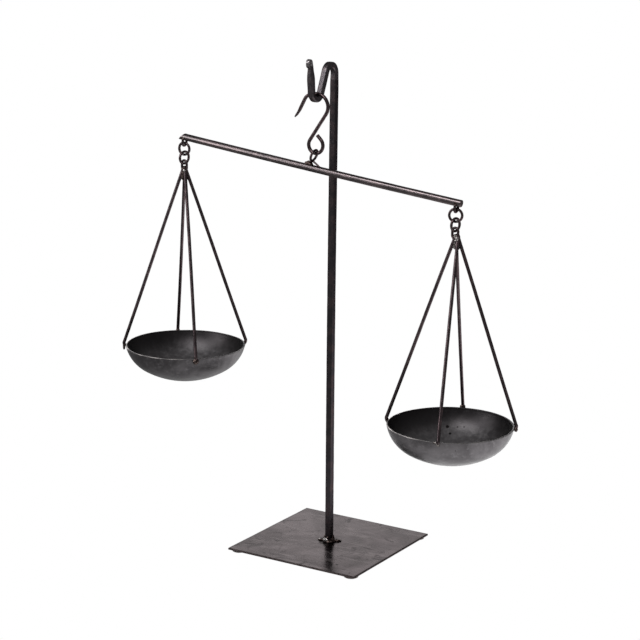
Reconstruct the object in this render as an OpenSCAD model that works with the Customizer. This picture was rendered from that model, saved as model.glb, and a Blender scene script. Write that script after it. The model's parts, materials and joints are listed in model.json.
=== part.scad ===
// Decorative balance scale of blackened iron.
// Origin: centre of the base on the plane that the feet rest on. +Z is up.
// +X runs along the beam towards its lower arm, and the hook reaches out towards -Y.

/* [Base] */
// Side of the square base plate
base_w = 150; // [130:1:180]
// Thickness of the base plate
base_t = 2; // [1.5:0.5:4]
// Radius of the plate's corners
base_corner_r = 2; // [1:0.5:6]
// Diameter of each foot pad
foot_d = 15; // [10:0.5:20]
// Thickness of each foot pad
foot_t = 2; // [1.5:0.5:4]
// Distance from the plate's edges to a foot's centre
foot_inset = 8.5; // [8:0.5:14]

/* [Post] */
// Side of the square bar
bar_w = 6; // [5:0.25:8]
// Height of the arch's crown above the floor
crown_z = 497.5; // [450:0.5:520]
// Radius of the arch, on the bar's centre line
arch_r = 8.7; // [8:0.1:10]
// Angle of the falling leg from vertical
leg_lean = 23; // [18:1:28]
// Length of the straight part of the falling leg
leg_len = 21.7; // [20:0.1:24]
// Radius of the hook's bottom, on the bar's centre line
hook_r = 8.7; // [8:0.1:10]
// Outward lean of the rising leg from vertical
rise_lean = 5; // [2:1:8]
// Length of the rising leg
rise_len = 32; // [26:0.5:34]
// Thickness of the bar at the hook's tip
tip_w = 3.6; // [3:0.1:4.5]
// Diameter of the rolled end
scroll_d = 4.4; // [4:0.1:5]
// Distance of the rolled end's centre below the tip
scroll_drop = 4.2; // [3:0.1:6]
// Radius of the foot weld where it meets the plate
post_weld_r = 9.5; // [7:0.5:12]
// Height of the foot weld
post_weld_h = 7; // [4:0.5:9]

/* [S-hook] */
// Diameter of the S-hook's wire
s_wire_d = 3.4; // [3:0.1:3.8]
// Radius of the upper bend, on the wire's centre line
s_top_r = 12.2; // [11.5:0.1:12.5]
// Radius of the lower loop, on the wire's centre line
s_loop_r = 8.1; // [7.5:0.1:8.5]
// Height between the highest and the lowest point of the wire's centre line
s_height = 58.1; // [54:0.1:62]
// Length of the short straight end above the lower loop
s_end_len = 5.5; // [3:0.5:6]

/* [Beam] */
// Diameter of the beam
beam_d = 6.8; // [6:0.1:8]
// Length of the beam
beam_len = 324; // [310:1:340]
// Distance from the beam's middle to the left end eye
left_arm = 155.9; // [150:0.1:158]
// Distance from the beam's middle to the right end eye
right_arm = 157.6; // [150:0.1:158]
// Tilt of the beam at rest, lower at +X
tilt = 6.3; // [0:0.1:10]
// Position of the centre eye along the beam, from its middle
eye_offset = -1.3; // [-3:0.1:0]
// Diameter of the wire of the eyes, rings and loops
ring_wire_d = 2.7; // [2.4:0.1:3]
// Outer diameter of the centre eye
eye_d = 13.8; // [12.5:0.1:15]
// Gap between the centre eye's ring and the beam
eye_lift = 2; // [1:0.1:3]
// Lean of the centre eye along the beam, its top towards +X
eye_lean = 14; // [0:1:20]
// Depth of an end eye's wire centre below the beam's centre line
end_drop = 9; // [8:0.1:11]
// Width of an end eye between its legs' centres
end_eye_w = 6.4; // [6.3:0.1:6.8]

/* [Rings] */
// Outer diameter of the upper ring
upper_ring_d = 14.8; // [14:0.1:16]
// Outer diameter of the lower ring
lower_ring_d = 14.5; // [14:0.1:16]
// Turn of the left upper ring about the vertical
left_ring_turn = 0; // [-10:1:14]
// Turn of the right upper ring about the vertical
right_ring_turn = 14; // [-10:1:14]
// Turn of both lower rings about the vertical
lower_ring_turn = 12; // [0:1:20]
// Outer width of the hanger's top loop
loop_w = 9.6; // [9:0.1:11]
// Outer height of the hanger's top loop
loop_h = 13.1; // [12.5:0.1:15]

/* [Pans] */
// Diameter of a hanger rod
rod_d = 3.2; // [3:0.1:3.5]
// Height from an end eye's wire to the pan's rim
rim_drop = 206.4; // [180:0.1:230]
// Rim radius of the left pan
left_rim_r = 62; // [55:0.1:64]
// Rim radius of the right pan
right_rim_r = 61.6; // [55:0.1:64]
// Depth of the left pan
left_depth = 37.3; // [34:0.1:41]
// Depth of the right pan
right_depth = 38.4; // [34:0.1:41]
// Thickness of a pan's wall
pan_t = 1.5; // [1.2:0.1:2.5]
// Curve of a pan's floor
floor_r = 86; // [82:1:92]
// Radius out to which the floor reaches
floor_reach = 44; // [40:1:46]
// Bearings of the left hanger's four rods, one in each quarter
left_bearings = [-45, 46, 133, -148]; // [-180:1:180]
// Bearings of the right hanger's four rods, one in each quarter
right_bearings = [-72, 25, 107, -164]; // [-180:1:180]
// Bearings of the left rods' upper ends round their weld
left_top_bearings = [-38, 44, 124, -148]; // [-180:1:180]
// Bearings of the right rods' upper ends round their weld
right_top_bearings = [-38, 32, 122, -150]; // [-180:1:180]
// Shift of the right hanger's weld from plumb, along X and Y
right_weld_shift = [1.2, 0.7]; // [-1.5:0.1:1.5]
// Distance that a rod runs on below the rim
rod_tail = 1.2; // [0:0.1:4]

/* [Hidden] */
$fn = 48;
// Play between links that hang on each other
play = 0.2;
// Play between parts that are welded together side by side
weld_gap = 0.05;
// A straight piece of bar or wire runs this far into the bend that it joins
lap = 0.6;
// and is this much thinner, so that it ends inside the bend
lap_slim = 0.04;

// Post and hook. All places on the centre line are [y, z].
base_top = foot_t + base_t;
arch_c = [-arch_r, crown_z - bar_w / 2 - arch_r];
leg_top = arch_c + arch_r * [-cos(leg_lean), sin(leg_lean)];
leg_end = leg_top - leg_len * [sin(leg_lean), cos(leg_lean)];
leg_mid = (leg_top + leg_end) / 2;
hook_c = leg_end + hook_r * [-cos(leg_lean), sin(leg_lean)];
hang_y = hook_c[0];
hook_seat_z = hook_c[1] - hook_r + bar_w / 2;
rise_start = hook_c + hook_r * [-cos(rise_lean), -sin(rise_lean)];

// S-hook: the wire sinks a little over the width of the bar that it hangs on
s_dip = s_top_r - sqrt(pow(s_top_r, 2) - pow(bar_w / 2, 2));
s_top_z = hook_seat_z + s_wire_d / 2 + s_dip + play;
s_low_z = s_top_z - s_height;
s_top_c = [1.2, s_top_z - s_top_r];
s_loop_c = [0, s_low_z + s_loop_r];

// Beam: pivot at the centre of the eye's top wire, places along the beam from the pivot
wire_r = ring_wire_d / 2;
pivot_z = s_low_z + s_wire_d / 2 + wire_r + play;
eye_r = eye_d / 2 - wire_r;
beam_below = 2 * eye_r + wire_r + eye_lift + beam_d / 2;
end_below = beam_below + end_drop;
// Where the centre eye's two feet meet the beam, along it
eye_foot_left = -7.2;
eye_foot_right = 4.6;

// End eyes at rest, in the model's frame
function beam_point(along, below) =
    [(along - eye_offset) * cos(tilt) - below * sin(tilt), hang_y,
     pivot_z - (along - eye_offset) * sin(tilt) - below * cos(tilt)];
left_hang = beam_point(-left_arm, end_below);
right_hang = beam_point(right_arm, end_below);

// Links below each end eye's wire centre
link_step = ring_wire_d + play;
upper_r = upper_ring_d / 2 - wire_r;
lower_r = lower_ring_d / 2 - wire_r;
upper_c = -upper_r + link_step;
lower_c = upper_c - upper_r - lower_r + link_step;
loop_arc_r = loop_w / 2 - wire_r;
loop_straight = loop_h - loop_w;
loop_top = lower_c - lower_r + link_step;
loop_bottom = loop_top - 2 * loop_arc_r - loop_straight;
// Upper ends of the four rods: their distance from the bundle's axis, and their gap below the loop
rod_top_r = 2.65;
rod_top_gap = 0.6;
rod_top_z = loop_bottom - wire_r - rod_top_gap;

// Welds: radii, and where their centres lie from the wire, bar or rim that they sit on
post_weld_top_r = bar_w * 0.75;
eye_weld_r = 3.4;
eye_weld_sink = 0.5;
end_weld_r = 2;
end_weld_out = 0.6;
end_weld_below = 1;
hanger_weld_r = 4.6;
hanger_weld_z = rod_top_z - 1;
bead_r = 2.6;
bead_out = 0.8;
bead_below = 0.5;

iron = [0.19, 0.17, 0.18];
plate_iron = [0.36, 0.34, 0.35];
weld_metal = [0.55, 0.54, 0.53];
pad_rubber = [0.12, 0.1, 0.1];

// Unit vector at a polar angle
function polar(angle) = [cos(angle), sin(angle)];

// Arc of round wire in the XZ plane, from one polar angle through a sweep
module wire_arc(r, from, sweep, d) {
    rotate([90, 0, 0]) rotate([0, 0, from]) rotate_extrude(angle = sweep)
        translate([r, 0]) circle(d = d);
}

// Straight wire between two points of the XZ plane
module wire_bar(a, b, d, d_end) {
    run = b - a;
    translate([a[0], 0, a[1]]) rotate([0, atan2(run[0], run[1]), 0])
        cylinder(h = norm(run), d1 = d, d2 = d_end);
}

// Straight wire that laps into a bend at its start, its end or both
module wire_lap(a, b, d, at_start = 1, at_end = 1) {
    along = (b - a) / norm(b - a);
    wire_bar(a - lap * at_start * along, b + lap * at_end * along, d - lap_slim, d - lap_slim);
}

// Full ring in the XZ plane, centred on the origin
module wire_ring(outer_d) {
    rotate([90, 0, 0]) rotate_extrude() translate([(outer_d - ring_wire_d) / 2, 0]) circle(d = ring_wire_d);
}

module base_plate() {
    color(plate_iron) translate([0, 0, foot_t]) linear_extrude(base_t) {
        square([base_w - 2 * base_corner_r, base_w], center = true);
        square([base_w, base_w - 2 * base_corner_r], center = true);
        for (x = [-1, 1], y = [-1, 1])
            translate([x, y] * (base_w / 2 - base_corner_r)) circle(base_corner_r);
    }
}

module foot(index) {
    turn = 45 + 90 * index;
    reach = (base_w / 2 - foot_inset) * sqrt(2);
    color(pad_rubber) rotate([0, 0, turn]) translate([reach, 0, 0]) cylinder(d = foot_d, h = foot_t);
}

// Bend of square bar in the YZ plane, drawn as [y, z]
module bar_bend(c, r, from, sweep) {
    translate([0, c[0], c[1]]) rotate([90, 0, 90]) rotate([0, 0, from])
        rotate_extrude(angle = sweep, $fn = 96) translate([r, 0]) square(bar_w, center = true);
}

// Outline of the rising leg, the same seen from the side and from the front
module rising_outline() {
    half = (bar_w - lap_slim) / 2;
    tip = tip_w / 2;
    taper_from = rise_len / 3;
    taper_to = rise_len * 0.75;
    polygon(concat([[-tip, taper_to], [-half, taper_from], [-half, -lap],
                    [half, -lap], [half, taper_from], [tip, taper_to]],
                   [for (turn = [0:20:180]) [0, rise_len - tip] + tip * polar(turn)]));
}

// Tapered leg with a rounded end and a rolled scroll on its outer side
module rising_leg() {
    intersection() {
        rotate([90, 0, 90]) linear_extrude(bar_w, center = true) rising_outline();
        rotate([90, 0, 0]) linear_extrude(bar_w, center = true) rising_outline();
    }
    translate([0, -tip_w / 2 - scroll_d / 4, rise_len - scroll_drop])
        rotate([0, 90, 0]) cylinder(d = scroll_d, h = tip_w, center = true);
}

module post() {
    color(iron) {
        translate([-bar_w / 2, -bar_w / 2, base_top]) cube([bar_w, bar_w, arch_c[1] - base_top]);
        bar_bend(arch_c, arch_r, 0, 180 - leg_lean);
        translate([0, leg_mid[0], leg_mid[1]]) rotate([-leg_lean, 0, 0])
            cube([bar_w - lap_slim, bar_w - lap_slim, leg_len + 2 * lap], center = true);
        bar_bend(hook_c, hook_r, 180 + rise_lean, 180 - leg_lean - rise_lean);
        translate([0, rise_start[0], rise_start[1]]) rotate([rise_lean, 0, 0]) rising_leg();
    }
}

module post_weld() {
    color(weld_metal) difference() {
        translate([0, 0, base_top]) cylinder(r1 = post_weld_r, r2 = post_weld_top_r, h = post_weld_h);
        translate([0, 0, base_top + post_weld_h / 2]) cube([bar_w, bar_w, 2 * post_weld_h], center = true);
    }
}

// S-hook, all places [x, z]: the straight between the two bends leaves each at s_normal from its centre
s_axis = s_top_c - s_loop_c;
s_slope = atan2(s_axis[1], s_axis[0]) - asin((s_top_r + s_loop_r) / norm(s_axis));
s_normal = [-sin(s_slope), cos(s_slope)];
// The open arm: out of the upper bend, a shoulder, a second bend, a straight and a pointed tip
s_exit = 100;
s_shoulder_len = 5;
s_arm_r = 10;
s_arm_sweep = 52;
s_arm_len = 12;
s_tip_len = 8.5;
s_tip_flick = 10;
// Diameters of the pointed tip at its root and its end
s_tip_root_d = s_wire_d * 0.9;
s_tip_end_d = 1;
s_shoulder_start = s_top_c + s_top_r * polar(s_exit);
s_shoulder_end = s_shoulder_start + s_shoulder_len * polar(s_exit + 90);
s_arm_c = s_shoulder_end - s_arm_r * polar(s_exit);
s_arm_start = s_arm_c + s_arm_r * polar(s_exit + s_arm_sweep);
s_arm_end = s_arm_start + s_arm_len * polar(s_exit + s_arm_sweep + 90);
s_tip = s_arm_end + s_tip_len * polar(s_exit + s_arm_sweep + 90 - s_tip_flick);
// Polar angle at which the lower loop ends
s_end_angle = 45;
s_loop_end = s_loop_c + s_loop_r * polar(s_end_angle);

module s_hook() {
    color(iron) translate([0, hang_y, 0]) {
        translate([s_top_c[0], 0, s_top_c[1]])
            wire_arc(s_top_r, s_slope - 90, s_exit - s_slope + 90, s_wire_d);
        wire_lap(s_shoulder_start, s_shoulder_end, s_wire_d);
        translate([s_arm_c[0], 0, s_arm_c[1]]) wire_arc(s_arm_r, s_exit, s_arm_sweep, s_wire_d);
        wire_lap(s_arm_start, s_arm_end, s_wire_d, 1, 0);
        translate([s_arm_end[0], 0, s_arm_end[1]]) sphere(d = s_wire_d);
        wire_bar(s_arm_end, s_tip, s_tip_root_d, s_tip_end_d);
        wire_lap(s_loop_c + s_loop_r * s_normal, s_top_c - s_top_r * s_normal, s_wire_d);
        translate([s_loop_c[0], 0, s_loop_c[1]])
            wire_arc(s_loop_r, s_slope + 90, 270 + s_end_angle - s_slope, s_wire_d);
        wire_lap(s_loop_end, s_loop_end + s_end_len * polar(s_end_angle + 90), s_wire_d, 1, 0);
    }
}

// Frame of the beam: origin on its centre line at its middle, X along it
module on_beam() {
    translate([0, hang_y, pivot_z]) rotate([0, tilt, 0]) translate([-eye_offset, 0, -beam_below]) children();
}

// The whole bar, before its end is cut
module beam_bar() {
    rotate([0, 90, 0]) cylinder(d = beam_d, h = beam_len, center = true);
}

// The left end is cut to a slant, its upper side set back
module beam() {
    slant = 40;
    slant_above = 1.5;
    color(iron) on_beam() difference() {
        beam_bar();
        translate([-beam_len / 2, 0, 0]) rotate([0, -slant, 0])
            translate([-beam_d, -beam_d, slant_above]) cube([4 * beam_d, 2 * beam_d, beam_d]);
    }
}

// The eye's ring stands across the beam, and its two feet splay along the beam
module center_eye() {
    neck = [eye_offset - 2 * eye_r * sin(eye_lean), beam_below - 2 * eye_r * cos(eye_lean)];
    foot_sink = 1;
    foot_z = beam_d / 2 - foot_sink;
    foot_root_d = ring_wire_d * 0.8;
    foot_end_d = ring_wire_d * 0.6;
    color(iron) difference() {
        union() {
            on_beam() translate([eye_offset, 0, beam_below]) rotate([0, eye_lean, 0])
                translate([0, 0, -eye_r]) rotate([0, 0, 90]) wire_ring(eye_d);
            on_beam() for (foot = [eye_foot_left, eye_foot_right])
                wire_bar(neck, [foot, foot_z], foot_root_d, foot_end_d);
        }
        on_beam() beam_bar();
    }
}

module center_eye_weld() {
    color(weld_metal) difference() {
        on_beam() translate([eye_foot_left, 0, beam_d / 2 - eye_weld_sink]) sphere(r = eye_weld_r);
        on_beam() beam_bar();
        center_eye();
    }
}

// U-shaped eye under the beam, in the plane across it
module end_eye(side) {
    leg = end_drop - end_eye_w / 2;
    color(iron) on_beam() difference() {
        translate([end_at(side), 0, -end_drop + end_eye_w / 2]) rotate([0, 0, 90]) {
            wire_arc(end_eye_w / 2, 180, 180, ring_wire_d);
            for (x = [-1, 1] * end_eye_w / 2) wire_bar([x, 0], [x, leg], ring_wire_d, ring_wire_d);
        }
        beam_bar();
    }
}

module end_weld(side) {
    color(weld_metal) difference() {
        on_beam() for (s = [-1, 1])
            translate([end_at(side), s * (end_eye_w / 2 + end_weld_out), -end_weld_below])
                sphere(r = end_weld_r);
        on_beam() beam_bar();
        end_eye(side);
    }
}

// Frame of one side's links: origin at the end eye's wire centre, Z plumb
module on_side(side) {
    translate(side < 0 ? left_hang : right_hang) children();
}

module upper_ring(side) {
    color(iron) on_side(side) translate([0, 0, upper_c])
        rotate([0, 0, side < 0 ? left_ring_turn : right_ring_turn]) wire_ring(upper_ring_d);
}

module lower_ring(side) {
    color(iron) on_side(side) translate([0, 0, lower_c]) rotate([0, 0, 90 - lower_ring_turn])
        wire_ring(lower_ring_d);
}

module top_loop(side) {
    color(iron) on_side(side) rotate([0, 0, -lower_ring_turn]) {
        translate([0, 0, loop_top - loop_arc_r]) wire_arc(loop_arc_r, 0, 180, ring_wire_d);
        translate([0, 0, loop_bottom + loop_arc_r]) wire_arc(loop_arc_r, 180, 180, ring_wire_d);
        for (s = [-1, 1]) wire_bar([s * loop_arc_r, loop_bottom + loop_arc_r],
            [s * loop_arc_r, loop_top - loop_arc_r], ring_wire_d, ring_wire_d);
    }
}

function end_at(side) = side < 0 ? -left_arm : right_arm;
function rim_r(side) = side < 0 ? left_rim_r : right_rim_r;
function depth(side) = side < 0 ? left_depth : right_depth;
function bearing(side, index) = side < 0 ? left_bearings[index - 1] : right_bearings[index - 1];
function top_bearing(side, index) = side < 0 ? left_top_bearings[index - 1] : right_top_bearings[index - 1];
function weld_shift(side) = side < 0 ? [0, 0] : right_weld_shift;

// Straight round bar between two points in space
module bar(a, b, d) {
    run = b - a;
    translate(a) rotate([0, acos(run[2] / norm(run)), atan2(run[1], run[0])]) cylinder(d = d, h = norm(run));
}

// Straight rod of one quarter, from the bundle's weld to just below the rim
module rod(side, index) {
    turn = bearing(side, index);
    top = concat(weld_shift(side) + rod_top_r * polar(top_bearing(side, index)), rod_top_z);
    lean = atan2(rim_r(side) - rod_top_r, rod_top_z + rim_drop);
    at_rim = concat((rim_r(side) + weld_gap + rod_d / 2 / cos(lean)) * polar(turn), -rim_drop);
    run = at_rim - top;
    color(iron) on_side(side) difference() {
        bar(top, at_rim + run * rod_tail / norm(run), rod_d);
        weld_ball(side);
    }
}

// The weld that holds the four rods' ends, drawn up into the foot of the top loop
module weld_ball(side) {
    translate(concat(weld_shift(side), hanger_weld_z)) rotate([90, 0, 0]) sphere(r = hanger_weld_r);
}

module hanger_weld(side) {
    color(weld_metal) on_side(side) difference() {
        weld_ball(side);
        rotate([0, 0, -lower_ring_turn]) translate([0, 0, loop_bottom + loop_arc_r])
            wire_arc(loop_arc_r, 180, 180, ring_wire_d);
    }
}

// Outline of a pressed bowl, [radius, height from the rim], offset inwards by inset: a shallow floor
// that turns into a tighter side. The side's arc is tangent to the floor's and meets the rim.
function bowl_outline(side, inset) =
    let (floor_c = floor_r - depth(side),
         turn = asin(floor_reach / floor_r),
         joint = [floor_reach, floor_c - floor_r * cos(turn)],
         to_rim = joint - [rim_r(side), 0],
         inward = [-sin(turn), cos(turn)],
         side_r = -(to_rim * to_rim) / (2 * (to_rim * inward)),
         side_c = joint + side_r * inward,
         rim_turn = atan2(-side_c[1] - inset, rim_r(side) - side_c[0]) + 90,
         steps = 8)
    concat([for (i = [0:steps - 1]) [0, floor_c] + (floor_r - inset) * polar(-90 + turn * i / steps)],
           [for (i = [0:steps]) side_c + (side_r - inset) * polar(-90 + turn + (rim_turn - turn) * i / steps)]);

function reversed(list) = [for (i = [len(list) - 1:-1:0]) list[i]];

module pan(side) {
    color(iron) on_side(side) translate([0, 0, -rim_drop]) rotate_extrude($fn = 96)
        polygon(concat(bowl_outline(side, 0), reversed(bowl_outline(side, pan_t))));
}

module rim_welds(side) {
    color(weld_metal) difference() {
        on_side(side) for (i = [1:4]) rotate([0, 0, bearing(side, i)])
            translate([rim_r(side) + bead_out, 0, -rim_drop - bead_below]) sphere(r = bead_r);
        pan(side);
        for (i = [1:4]) rod(side, i);
    }
}

base_plate();
for (i = [1:4]) foot(i);
post();
post_weld();
s_hook();
beam();
center_eye();
center_eye_weld();
for (side = [-1, 1]) {
    name = side < 0 ? "left_" : "right_";
    end_eye(side);
    end_weld(side);
    upper_ring(side);
    lower_ring(side);
    top_loop(side);
    hanger_weld(side);
    for (i = [1:4]) rod(side, i);
    pan(side);
    rim_welds(side);
}
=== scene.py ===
"""Looks of a decorative balance scale of blackened iron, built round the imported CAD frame.

Lengths are in metres. +X runs along the beam towards its lower arm, the hook reaches out
towards -Y and +Z is up.
"""

import json
import math

import bmesh
import bpy
import numpy as np
from mathutils import Matrix, Vector, noise


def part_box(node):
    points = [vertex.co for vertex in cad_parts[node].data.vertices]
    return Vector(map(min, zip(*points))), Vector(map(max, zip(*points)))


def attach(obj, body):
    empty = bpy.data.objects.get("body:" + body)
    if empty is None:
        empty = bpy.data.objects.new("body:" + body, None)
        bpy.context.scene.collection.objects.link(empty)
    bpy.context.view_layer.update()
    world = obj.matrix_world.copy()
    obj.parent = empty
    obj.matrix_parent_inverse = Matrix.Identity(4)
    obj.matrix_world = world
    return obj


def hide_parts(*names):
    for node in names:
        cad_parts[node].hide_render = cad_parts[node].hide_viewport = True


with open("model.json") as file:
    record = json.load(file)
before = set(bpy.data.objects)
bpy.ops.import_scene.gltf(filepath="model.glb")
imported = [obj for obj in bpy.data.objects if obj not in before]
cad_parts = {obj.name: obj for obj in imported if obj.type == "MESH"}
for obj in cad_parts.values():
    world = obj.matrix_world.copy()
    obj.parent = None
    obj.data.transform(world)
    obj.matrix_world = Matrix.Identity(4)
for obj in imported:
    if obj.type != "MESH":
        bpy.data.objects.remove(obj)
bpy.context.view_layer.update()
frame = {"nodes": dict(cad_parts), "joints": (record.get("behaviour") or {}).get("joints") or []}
nodes = frame["nodes"]
MM = 0.001
SIDES = ("left", "right")
UP = Vector((0, 0, 1))
# Smallest face that counts as part of a rod's side, and how near a rod's end the points of its foot lie
SIDE_FACE_AREA = 4 * MM * MM
FOOT_REACH = 0.2 * MM
# Largest turn between two points of an arc, in radians
WIDEST_TURN = 0.2
# Rings in a bar's rounded end, and how far in from its tip the first one lies, as a share of one step
CAP_STEPS = 4
CAP_TIP = 0.35
# Rows and columns of one blob of weld metal before the blobs are fused
BLOB_ROWS, BLOB_COLUMNS = 12, 20
RANGE_KEYS = ("From Min", "From Max", "To Min", "To Max")


# ---- places, from the frame
def joint_place(name):
    return Vector(next(j["pos_m"] for j in frame["joints"] if j["name"] == name))


hook_seat = joint_place("s_hook_swing")
pivot = joint_place("beam_tilt")
hang = {side: joint_place(side + "_upper_ring_swing") for side in SIDES}
tilt = math.atan2(hang["left"].z - hang["right"].z, hang["right"].x - hang["left"].x)
beam_along = Vector((math.cos(tilt), 0, -math.sin(tilt)))
beam_up = Vector((math.sin(tilt), 0, math.cos(tilt)))


def centre_of(node):
    low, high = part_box(node)
    return (low + high) / 2


def size_of(node):
    low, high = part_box(node)
    return high - low


def axis_ends(node):
    """The two ends of a straight rod's axis, the upper one first. Its side faces give its direction."""
    mesh = nodes[node].data
    normals = np.array([f.normal * f.area for f in mesh.polygons if f.area > SIDE_FACE_AREA])
    along = np.linalg.svd(normals, full_matrices=False)[2][2]
    along = along if along[2] > 0 else -along
    co = np.array([v.co for v in mesh.vertices])
    reach = co @ along
    foot_ring = co[reach < reach.min() + FOOT_REACH]
    foot = (foot_ring.min(0) + foot_ring.max(0)) / 2
    return Vector(foot + along * (reach.max() - foot @ along)), Vector(foot)


# ---- mesh helpers
def new_piece(name, points, faces, material, smooth=True):
    mesh = bpy.data.meshes.new(name)
    mesh.from_pydata([tuple(p) for p in points], [], faces)
    mesh.validate()
    if smooth:
        mesh.shade_smooth()
    piece = bpy.data.objects.new(name, mesh)
    bpy.context.scene.collection.objects.link(piece)
    mesh.materials.append(material)
    return piece


def place_piece(piece, body, slot, *replaced):
    """What every piece needs said: its body and the nodes that it stands for. Its finish's slot is not
    used.
    """
    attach(piece, body)
    if replaced:
        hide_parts(*replaced)


def join_doubles(piece):
    """Joins the points that lie in one place, and makes the faces look outwards."""
    mesh = bmesh.new()
    mesh.from_mesh(piece.data)
    bmesh.ops.remove_doubles(mesh, verts=mesh.verts, dist=0.01 * MM)
    bmesh.ops.recalc_face_normals(mesh, faces=mesh.faces)
    mesh.to_mesh(piece.data)
    mesh.free()
    piece.data.shade_smooth()


def give_attribute(piece, name, values):
    attribute = piece.data.attributes.new(name, "FLOAT", "POINT")
    attribute.data.foreach_set("value", np.array(values, np.float32))


def turned_faces(rows, around):
    """Faces of a profile turned round an axis, with that many points in each row."""
    return [(i * around + k, i * around + n, (i + 1) * around + n, (i + 1) * around + k)
            for i in range(rows - 1) for k, n in ((k, (k + 1) % around) for k in range(around))]


def subdivide(piece):
    modifier = piece.modifiers.new("subdivision", "SUBSURF")
    modifier.levels = 1
    modifier.render_levels = 1


def rough_noise(point, scale, seed):
    """Smooth noise from -1 to 1 at a point, with features of about that many metres."""
    shifted = Vector(point) / scale + Vector((seed * 7.31, seed * 3.17, seed * 5.77))
    return noise.noise(shifted)


def walk(start, heading, moves, step=0.9 * MM):
    """A flat line made of straights and arcs, as [across, up] points with the length walked at each.

    A move is ("line", length) or ("arc", radius, turn), with turn in degrees, positive to the left."""
    here = np.array(start, float)
    angle = math.radians(heading)
    points, walked = [here.copy()], [0.0]
    for move in moves:
        if move[0] == "line":
            count = max(2, round(move[1] / step))
            for _ in range(count):
                here = here + move[1] / count * np.array([math.cos(angle), math.sin(angle)])
                points.append(here.copy())
                walked.append(walked[-1] + move[1] / count)
        else:
            radius, turn = move[1], math.radians(move[2])
            side = math.copysign(1, turn)
            centre = here + side * radius * np.array([-math.sin(angle), math.cos(angle)])
            count = max(3, math.ceil(abs(turn) * radius / step), math.ceil(abs(turn) / WIDEST_TURN))
            for _ in range(count):
                angle += turn / count
                here = centre - side * radius * np.array([-math.sin(angle), math.cos(angle)])
                points.append(here.copy())
                walked.append(walked[-1] + abs(turn) * radius / count)
    return np.array(points), np.array(walked)


def ease(share):
    """A share from 0 to 1, slowed down at both ends."""
    return share * share * (3 - 2 * share)


def blend_along(walked, *stops):
    """Values along a line, eased between stops given as (length walked, value)."""
    at = [s[0] for s in stops]
    values = [s[1] for s in stops]
    result = []
    for w in walked:
        k = int(np.clip(np.searchsorted(at, w) - 1, 0, len(at) - 2))
        share = ease(np.clip((w - at[k]) / max(at[k + 1] - at[k], 1e-9), 0, 1))
        result.append(values[k] + (values[k + 1] - values[k]) * share)
    return np.array(result)


def rounded_square(count, corner):
    """Outline with half-width 1 and corners of that radius: near 1 is round, and near 0 is square.

    count is the number of points, a multiple of 4."""
    per_corner = count // 4 - 1
    away = math.sqrt(2) * (1 - corner)
    points = []
    for quarter in range(4):
        turn = math.pi / 2 * quarter
        middle = turn + math.pi / 4
        for k in range(per_corner):
            angle = turn + math.pi / 2 * k / (per_corner - 1)
            points.append((away * math.cos(middle) + corner * math.cos(angle),
                           away * math.sin(middle) + corner * math.sin(angle)))
        points.append((math.cos(turn + math.pi / 2), math.sin(turn + math.pi / 2)))
    return np.array(points)


def sweep(name, line, normal, half_a, half_b, material, corner=1.0, around=20, closed=False,
          lumps=(), round_start=0.0, round_end=0.0):
    """A bar along a line. half_a is its half-width in the line's plane, half_b across the plane.

    normal is the plane's normal. lumps lists (amplitude, scale, seed) of the surface's noise, in mm,
    and round_start and round_end give how far the ends are rounded, in metres."""
    line = np.array([tuple(p) for p in line], float)
    count = len(line)
    half_a, half_b, corner = (np.broadcast_to(np.array(v, float), count)
                              for v in (half_a, half_b, corner))
    if closed:
        ahead = np.roll(line, -1, 0) - np.roll(line, 1, 0)
    else:
        ahead = np.gradient(line, axis=0)
    ahead /= np.linalg.norm(ahead, axis=1)[:, None]
    normal = np.array(tuple(normal), float)
    across = np.cross(ahead, normal)
    across /= np.linalg.norm(across, axis=1)[:, None]
    binormal = np.cross(across, ahead)

    def ring(index, shrink=1.0, shift=0.0):
        outline = rounded_square(around, corner[index])
        points = (line[index] + shift * ahead[index]
                  + outline[:, :1] * half_a[index] * shrink * across[index]
                  + outline[:, 1:] * half_b[index] * shrink * binormal[index])
        middle = line[index] + shift * ahead[index]
        for amplitude, scale, seed in lumps:
            for i, p in enumerate(points):
                out = p - middle
                size = np.linalg.norm(out)
                if size > 1e-7:
                    height = amplitude * MM * shrink * rough_noise(p, scale * MM, seed)
                    points[i] = p + out / size * height
        return points

    def cap(index, reach, way):
        """Rings of a rounded end, from its tip inwards."""
        rows = []
        for k in range(CAP_STEPS):
            turn = math.pi / 2 * (k + CAP_TIP) / CAP_STEPS
            shrink = 1 - reach / half_a[index] * (1 - math.sin(turn))
            rows.append(ring(index, shrink, way * reach * math.cos(turn)))
        return rows

    rings = [ring(i) for i in range(count)]
    if round_start and not closed:
        rings = cap(0, round_start, -1) + rings
    if round_end and not closed:
        rings += cap(count - 1, round_end, 1)[::-1]
    points = np.concatenate(rings)
    faces = []
    total = len(rings)
    for i in range(total if closed else total - 1):
        j = (i + 1) % total
        for k in range(around):
            n = (k + 1) % around
            faces.append((i * around + k, j * around + k, j * around + n, i * around + n))
    if not closed:
        faces.append(tuple(range(around)))
        faces.append(tuple((total - 1) * around + k for k in reversed(range(around))))
    return new_piece(name, points, faces, material)


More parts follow.
